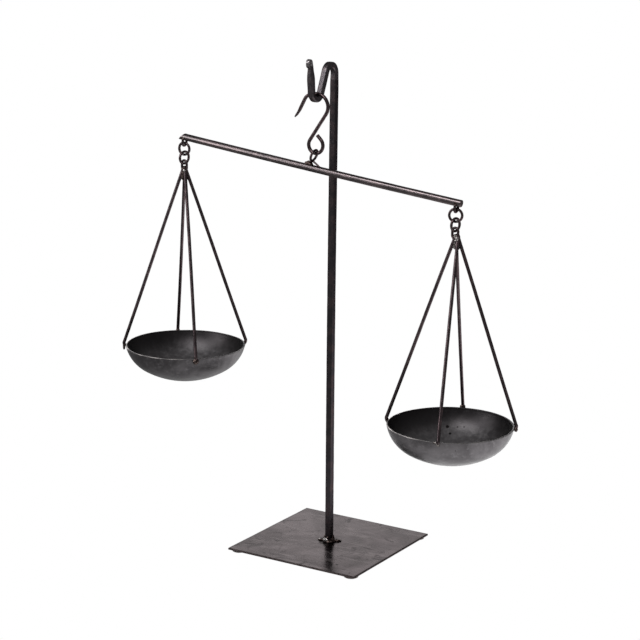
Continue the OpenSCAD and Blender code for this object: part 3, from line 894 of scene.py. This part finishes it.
def make_pan(side):
    """A pressed bowl: the outline turned round, a rounded lip, and hand-made unevenness."""
    node = side + "_pan"
    low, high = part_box(node)
    centre = Vector(((low.x + high.x) / 2, (low.y + high.y) / 2, high.z))
    rim, depth = (high.x - low.x) / 2, high.z - low.z
    # The unevenness needs a little room inside the CAD solid
    outer, inner = (bowl_outline(rim - 0.15 * MM, depth - 0.1 * MM, inset) for inset in (0, PAN_T))
    lip_out, lip_in = outer[-1], inner[-1]
    middle = (lip_out + lip_in) / 2
    half = np.linalg.norm(lip_out - lip_in) / 2
    lip = [middle + half * np.array([math.cos(a), 0.75 * math.sin(a)]) - np.array([0, 0.6 * MM])
           for a in np.linspace(0, math.pi, LIP_STEPS + 2)[1:-1]]
    outer[-1, 1] -= 0.5 * MM
    inner[-1, 1] -= 0.5 * MM
    profile = np.array([*outer, *lip, *inner[::-1]])
    lip_first = len(outer)
    lip_top = lip_first + LIP_STEPS // 2
    seed = PAN_SEEDS[side]
    points, edge_wear_and_lip_highlight, wall_shade, rubbed_and_sheen = [], [], [], []
    for i, (radius, z) in enumerate(profile):
        high_up = 1 + z / depth
        share = ease(min(1.0, max(0.0, (radius / rim - WALL_SHADE_FROM) / (WALL_SHADE_TO - WALL_SHADE_FROM))))
        for k in range(PAN_AROUND):
            turn = 2 * math.pi * k / PAN_AROUND
            at = Vector((radius * math.cos(turn), radius * math.sin(turn), z))
            uneven = (0.45 * MM * rough_noise(at, 34 * MM, seed)
                      + 0.12 * MM * rough_noise(at, 9 * MM, seed + 1))
            ripple = 0.25 * MM * high_up * math.sin(3 * turn + seed)
            grow = 1 + (uneven * 0.7 + ripple * 0.5) / rim
            lift = 0.3 * MM * high_up * (math.sin(2 * turn + seed) - 1) + uneven * 0.35
            points.append(centre + Vector((at.x * grow, at.y * grow, at.z + lift)))
            # The lip's bright line is a little wear all round and a painted highlight, strongest at one
            # bearing.
            facing = 0.5 + 0.5 * math.cos(turn - math.radians(LIP_HIGHLIGHT_FROM[side]))
            edge_wear_and_lip_highlight.append(0.15 + 0.85 * facing ** 2 if lip_first <= i <= lip_top else 0.0)
            # Inside, the wall near the rim takes painted shade and the floor a painted reflection.
            wall_shade.append(share if i > lip_top else 0.0)
            rubbed_and_sheen.append(1 - share if i > lip_top else 0.0)
    pan = new_piece(side + "_bowl", points, turned_faces(len(profile), PAN_AROUND), bowl_iron)
    for name, values in (("edge_wear_and_lip_highlight", edge_wear_and_lip_highlight), ("wall_shade", wall_shade), ("rubbed_and_sheen", rubbed_and_sheen)):
        give_attribute(pan, name, values)
    join_doubles(pan)
    subdivide(pan)
    place_piece(pan, side + "_pan", "pan_iron", node)


for side in SIDES:
    make_pan(side)

# ---- welds
WORLD_AXES = (Vector((1, 0, 0)), Vector((0, 1, 0)), UP)
BEAM_AXES = (beam_along, Vector((0, 1, 0)), beam_up)


def weld(name, body, metal, origin, rows, *replaced, axes=WORLD_AXES, bearing=0, rough=0.3, **look):
    """A weld from rows of (place along the axes, half-widths, bearing), all in mm and degrees."""
    blobs = []
    for offset, halves, *own in rows:
        at = Vector(origin)
        for axis, far in zip(axes, offset):
            at += axis * (far * MM)
        blobs.append((at, [half * MM for half in halves], own[0] if own else bearing))
    piece = lump(name, blobs, metal, rough * MM, **look)
    place_piece(piece, body, "weld_metal", *replaced)


def bundle_weld(side):
    """Weld that fills the space between the four rods' upper ends and rises round the loop's foot, with a
    bright blob on its front that is a painted glint.
    """
    middle = centre_of(side + "_hanger_weld")
    metal = brown_weld if side == "left" else grey_weld
    rows = [((0, 0, 0.6), (3.3, 3.3, 4.125)), ((0, 0, 4.4), (3.5, 3.5, 3.6)),
            ((1.3, -1.6, 2.6), (1.8, 1.8, 2.2)), ((-0.9, -1.0, -3.4), (2.3, 2.4, 3.6)),
            ((1.1, 0.7, -4.2), (2.3, 2.3, 3.8))]
    weld(side + "_bundle_weld", side + "_pan", metal, middle, rows, side + "_hanger_weld", rough=0.35,
         rough_scale=1.5 * MM, seed=81)
    # A small blob of bright weld on the front is a painted glint, taller on the right.
    tall = 1.3 if side == "left" else 2.6
    rows = [((1.7, -2.9, 3.6), (1.5, 1.2, tall), 30)]
    weld(side + "_bundle_painted_glint", side + "_pan", bright_weld, middle, rows, seed=84)


# Rows of the beads at the rims: places are out from the rim, along it and down
RIM_BEADS = {("left", 1): [((1.6, 0.0, 2.6), (2.6, 3.2, 3.2))],
             ("left", 4): [((1.2, 0.0, 2.2), (1.7, 2.2, 2.0)), ((1.6, 0.4, 4.6), (1.3, 1.6, 2.4))],
             ("right", 1): [((0.8, -2.4, 0.7), (1.2, 3.2, 1.1)), ((1.3, -0.2, 1.4), (1.7, 2.2, 2.0)),
                            ((1.5, 0.6, 3.0), (0.9, 1.1, 1.2))],
             ("right", 2): [((1.2, 0.0, 2.6), (2.0, 2.2, 2.6))],
             ("right", 3): [((0.9, 0.0, 0.2), (2.0, 2.9, 2.5))]}
USUAL_BEAD = [((1.0, 0.0, 1.2), (1.6, 2.3, 1.8)), ((0.9, 0.3, 2.8), (1.2, 1.7, 1.6))]


def rim_bead(side, index, out):
    """Weld between a rod's foot and the pan's rim."""
    low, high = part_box(side + "_pan")
    centre = (low + high) / 2
    edge = Vector((centre.x, centre.y, high.z)) + out * ((high.x - low.x) / 2)
    metal = grey_weld if (side, index) == ("right", 1) else brown_weld
    replaced = [side + "_rim_welds"] if index == 1 else []
    rows = RIM_BEADS.get((side, index), USUAL_BEAD)
    weld("%s_rim_bead_%d" % (side, index), side + "_pan", metal, edge, rows, *replaced,
         axes=(out, Vector((-out.y, out.x, 0)), -UP),
         bearing=math.degrees(math.atan2(out.y, out.x)), seed=90 + index)


def eye_welds(side):
    """Beads where an end eye's two legs meet the beam, and a bright spot on the nearest one."""
    end = left_end if side == "left" else right_end
    for index, face in enumerate((-3.3, 3.3)):
        rows = [((0.2, face, 0), (1.5, 0.9, 1.3)), ((0.3, face, -1.9), (1.7, 1.2, 1.5))]
        replaced = [side + "_end_weld"] if index == 0 else []
        weld("%s_eye_weld_%d" % (side, index + 1), "beam", brown_weld, end, rows, *replaced,
             axes=BEAM_AXES, rough=0.25, seed=100 + index)
    if side == "left":
        face = end + Vector((0.9, -3.6, 0)) * MM
        weld("left_eye_spot", "beam", bright_weld, face, [((0, 0, 0.1), (1.2, 0.7, 1.1))],
             axes=BEAM_AXES, rough=0.2, seed=107)


def post_weld():
    """A fillet all round the post's foot, with tongues to both sides and a bright bead in front."""
    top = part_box("base_plate")[1].z

    def above_plate(point):
        """Keeps a weld's skin from reaching under the plate's top."""
        return Vector((point.x, point.y, max(point.z, top - 0.25 * MM)))

    rows = [((0, 0, 0.3), (7.0, 6.6, 1.7)), ((0, 0, 1.6), (4.6, 4.6, 3.0)),
            ((-7.4, -1.9, 0.4), (5.0, 1.9, 1.3), 10), ((-3.9, -1.4, 2.4), (1.5, 1.9, 4.2)),
            ((0.8, -3.9, 2.6), (2.0, 1.4, 3.6)), ((7.2, 3.2, 0.4), (5.0, 1.9, 1.3), 24),
            ((3.9, 1.2, 2.6), (1.5, 2.0, 4.4)), ((0, 4.8, 0.8), (3.4, 2.4, 2.0))]
    weld("post_foot_weld", "stand", brown_weld, (0, 0, top), rows, "post_weld", rough=0.35,
         voxel=0.35 * MM, rough_scale=2 * MM, seed=121, keep_out=above_plate)
    rows = [((-1.6, -4.8, 1.8), (3.2, 1.8, 2.4)), ((-9.0, -2.4, 0.8), (2.4, 1.0, 0.8), 10)]
    weld("post_foot_bead", "stand", bright_weld, (0, 0, top), rows, seed=124, keep_out=above_plate)


for side in SIDES:
    bundle_weld(side)
    for index, out in enumerate(rod_bearings[side]):
        rim_bead(side, index + 1, out)
    eye_welds(side)
weld("centre_eye_weld_bead", "beam", brown_weld, on_beam(EYE_FEET[0], 0, BEAM_D / 2 - 0.2 * MM),
     [((0, 0, 0.4), (3.6, 2.9, 2.6)), ((2.4, -1.2, 0), (2.6, 2.2, 1.8)), ((-2.6, 0, 0.2), (2.4, 2.2, 1.7))],
     "center_eye_weld", axes=BEAM_AXES, rough=0.4, rough_scale=1.6 * MM, seed=111)
post_weld()


# ---- base plate and feet
PLATE_CORNER = 0.9 * MM
PLATE_EDGE = 0.45 * MM
PLATE_CELLS = 80
PAD_AROUND = 48
# The plate is flat out to the first radius, and as uneven as it gets from the second
FLAT_R, UNEVEN_R = 12 * MM, 32 * MM


def make_plate():
    """Cut sheet with worn, rounded edges, a little out of flat."""
    low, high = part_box("base_plate")
    half = (high.x - low.x) / 2
    inner = half - PLATE_CORNER
    cells = PLATE_CELLS
    ticks = np.linspace(-1, 1, cells + 1)
    ticks = np.sign(ticks) * (1 - (1 - np.abs(ticks)) ** 1.9)
    points, edge_wear_and_lip_highlight, faces = [], [], []

    def layer(z_of):
        first = len(points)
        for a in ticks:
            for b in ticks:
                x, y = a * half, b * half
                over = Vector((max(0, abs(x) - inner), max(0, abs(y) - inner)))
                if over.length > 1e-9 and over.x > 0 and over.y > 0:
                    pull = max(over.x, over.y) / over.length
                    x = math.copysign(inner + over.x * pull, x)
                    y = math.copysign(inner + over.y * pull, y)
                edge = half - max(abs(x), abs(y))
                points.append(Vector((x, y, z_of(x, y, edge))))
                width = 2.4 * MM + 1.6 * MM * rough_noise((x, y, 0), 12 * MM, 5)
                edge_wear_and_lip_highlight.append(max(0.0, 1 - edge / width))
        return first

    def rounded(edge):
        return PLATE_EDGE * (1 - min(1.0, edge / PLATE_EDGE)) ** 2

    def top_z(x, y, edge):
        dish = (0.12 * MM * rough_noise((x, y, 0), 60 * MM, 7)
                + 0.05 * MM * rough_noise((x, y, 0), 20 * MM, 8))
        share = min(1.0, max(0.0, (math.hypot(x, y) - FLAT_R) / (UNEVEN_R - FLAT_R)))
        return high.z - 0.1 * MM + dish * share - rounded(edge)

    def bottom_z(x, y, edge):
        return low.z + rounded(edge)

    side_count = cells + 1
    top, bottom = layer(top_z), layer(bottom_z)
    for i in range(cells):
        for k in range(cells):
            a = i * side_count + k
            faces.append((top + a, top + a + side_count, top + a + side_count + 1, top + a + 1))
            faces.append((bottom + a, bottom + a + 1, bottom + a + side_count + 1,
                          bottom + a + side_count))
    border = ([(i, 0) for i in range(cells)] + [(cells, k) for k in range(cells)]
              + [(i, cells) for i in range(cells, 0, -1)] + [(0, k) for k in range(cells, 0, -1)])
    for (i, k), (m, n) in zip(border, border[1:] + border[:1]):
        a, b = i * side_count + k, m * side_count + n
        faces.append((top + b, top + a, bottom + a, bottom + b))
    plate = new_piece("plate_sheet", points, faces, sheet_iron)
    give_attribute(plate, "edge_wear_and_lip_highlight", edge_wear_and_lip_highlight)
    join_doubles(plate)
    place_piece(plate, "stand", "base_iron", "base_plate")


make_plate()


def make_foot(index):
    """A round pad with a rounded lower edge and slightly bulged side."""
    node = "foot_%d" % index
    low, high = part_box(node)
    centre = (low + high) / 2
    radius, height = (high.x - low.x) / 2, high.z - low.z
    # Radius and height, as shares of the pad's
    profile = [(0, 0), (0.6, 0), (0.9, 0.02), (0.975, 0.18), (1, 0.5), (0.985, 0.85), (0.95, 1), (0, 1)]
    points = []
    for far, up in profile:
        for k in range(PAD_AROUND):
            turn = 2 * math.pi * k / PAD_AROUND
            wobble = 1 - 0.01 * (1 + rough_noise((math.cos(turn), math.sin(turn), index), 0.8, index))
            r = radius * far * wobble
            points.append(Vector((centre.x + r * math.cos(turn), centre.y + r * math.sin(turn),
                                  low.z + up * height)))
    foot = new_piece("pad_%d" % index, points, turned_faces(len(profile), PAD_AROUND), pad)
    join_doubles(foot)
    place_piece(foot, "stand", "foot_pad", node)


for index in range(1, 5):
    make_foot(index)


# ---- floor, lights and camera
FLOOR_HALF = 30.0
# The floor's glow falls between two radii round a point, from one strength to another
GLOW_CENTRE = (0.3, 0.3, 0)
GLOW_R = (0.15, 0.8)
GLOW = (2.6, 0.4)
WORLD_GLOW = 0.32
# Name, place, target, size and radiance of each light
LIGHTS = (("overhead", (-0.15, -0.95, 1.45), (0, 0, 0.25), (1.0, 0.5), 11),
          ("front_left", (-1.1, -1.2, 0.9), (0, 0, 0.3), (0.6, 0.8), 8),
          ("back_card", (-1.7, 1.7, 0.6), (0, 0, 0.1), (2.2, 1.2), 2.5))
# The camera's yaw, pitch and roll in degrees, its place and its lens
CAMERA_TURN = (31.849, 13.775, 0.576)
CAMERA_PLACE = (1.02468, -1.67172, 0.71874)
CAMERA_LENS = 113.2


def seen_white(tree, unseen):
    """Emission that the camera sees as plain white and that lights the model as the given socket says."""
    path = tree.nodes.new("ShaderNodeLightPath")
    choose = tree.nodes.new("ShaderNodeMix")
    choose.data_type = "FLOAT"
    tree.links.new(path.outputs["Is Camera Ray"], choose.inputs[0])
    if isinstance(unseen, float):
        choose.inputs[2].default_value = unseen
    else:
        tree.links.new(unseen, choose.inputs[2])
    choose.inputs[3].default_value = 1.0
    return choose.outputs[0]


def make_floor():
    """Plain white paper, lit from below so that it shows no shadow, and brightest at its back right."""
    material = bpy.data.materials.new("floor")
    material.use_nodes = True
    tree = material.node_tree
    tree.nodes.clear()
    place = tree.nodes.new("ShaderNodeTexCoord")
    toward = tree.nodes.new("ShaderNodeVectorMath")
    toward.operation = "DISTANCE"
    toward.inputs[1].default_value = GLOW_CENTRE
    tree.links.new(place.outputs["Object"], toward.inputs[0])
    glow = tree.nodes.new("ShaderNodeMapRange")
    glow.interpolation_type = "SMOOTHSTEP"
    for key, value in zip(RANGE_KEYS, (*GLOW_R, *GLOW)):
        glow.inputs[key].default_value = value
    tree.links.new(toward.outputs["Value"], glow.inputs["Value"])
    emission = tree.nodes.new("ShaderNodeEmission")
    tree.links.new(seen_white(tree, glow.outputs["Result"]), emission.inputs["Strength"])
    output = tree.nodes.new("ShaderNodeOutputMaterial")
    tree.links.new(emission.outputs[0], output.inputs["Surface"])
    corners = [(x * FLOOR_HALF, y * FLOOR_HALF, 0) for x, y in ((-1, -1), (1, -1), (1, 1), (-1, 1))]
    floor = new_piece("floor", corners, [(0, 1, 2, 3)], material, smooth=False)
    floor.location.z = -0.05 * MM


def make_light(name, place, target, size, radiance):
    """A soft panel that faces its target and isn't seen."""
    lamp = bpy.data.lights.new(name, "AREA")
    lamp.shape = "RECTANGLE"
    lamp.size, lamp.size_y = size
    lamp.energy = radiance * math.pi * size[0] * size[1]
    light = bpy.data.objects.new(name, lamp)
    light.location = place
    light.rotation_euler = (Vector(target) - Vector(place)).to_track_quat("-Z", "Y").to_euler()
    light.visible_camera = False
    bpy.context.scene.collection.objects.link(light)


def make_world(strength):
    """A plain white room, dim where it lights the model."""
    world = bpy.data.worlds.new("studio")
    world.use_nodes = True
    background = world.node_tree.nodes["Background"]
    background.inputs["Color"].default_value = (1, 1, 1, 1)
    tree = world.node_tree
    tree.links.new(seen_white(tree, strength), background.inputs["Strength"])
    bpy.context.scene.world = world


def make_camera():
    """At the height and bearing that the object is usually shown from, with a long lens."""
    yaw, pitch, roll = (math.radians(a) for a in CAMERA_TURN)
    data = bpy.data.cameras.new("camera")
    camera = bpy.data.objects.new("camera", data)
    bpy.context.scene.collection.objects.link(camera)
    camera.location = CAMERA_PLACE
    forward = Vector((-math.sin(yaw) * math.cos(pitch), math.cos(yaw) * math.cos(pitch),
                      -math.sin(pitch)))
    level = Vector((math.cos(yaw), math.sin(yaw), 0))
    right = level * math.cos(roll) + level.cross(forward) * math.sin(roll)
    up = right.cross(forward)
    turn = Matrix((right, up, -forward)).transposed()
    camera.rotation_mode = "QUATERNION"
    camera.rotation_quaternion = turn.to_quaternion()
    data.sensor_width = 36
    data.lens = CAMERA_LENS
    data.clip_start, data.clip_end = 0.1, 100
    bpy.context.scene.camera = camera


make_floor()
make_world(WORLD_GLOW)
for row in LIGHTS:
    make_light(*row)
make_camera()
bpy.context.scene.view_settings.view_transform = "Standard"
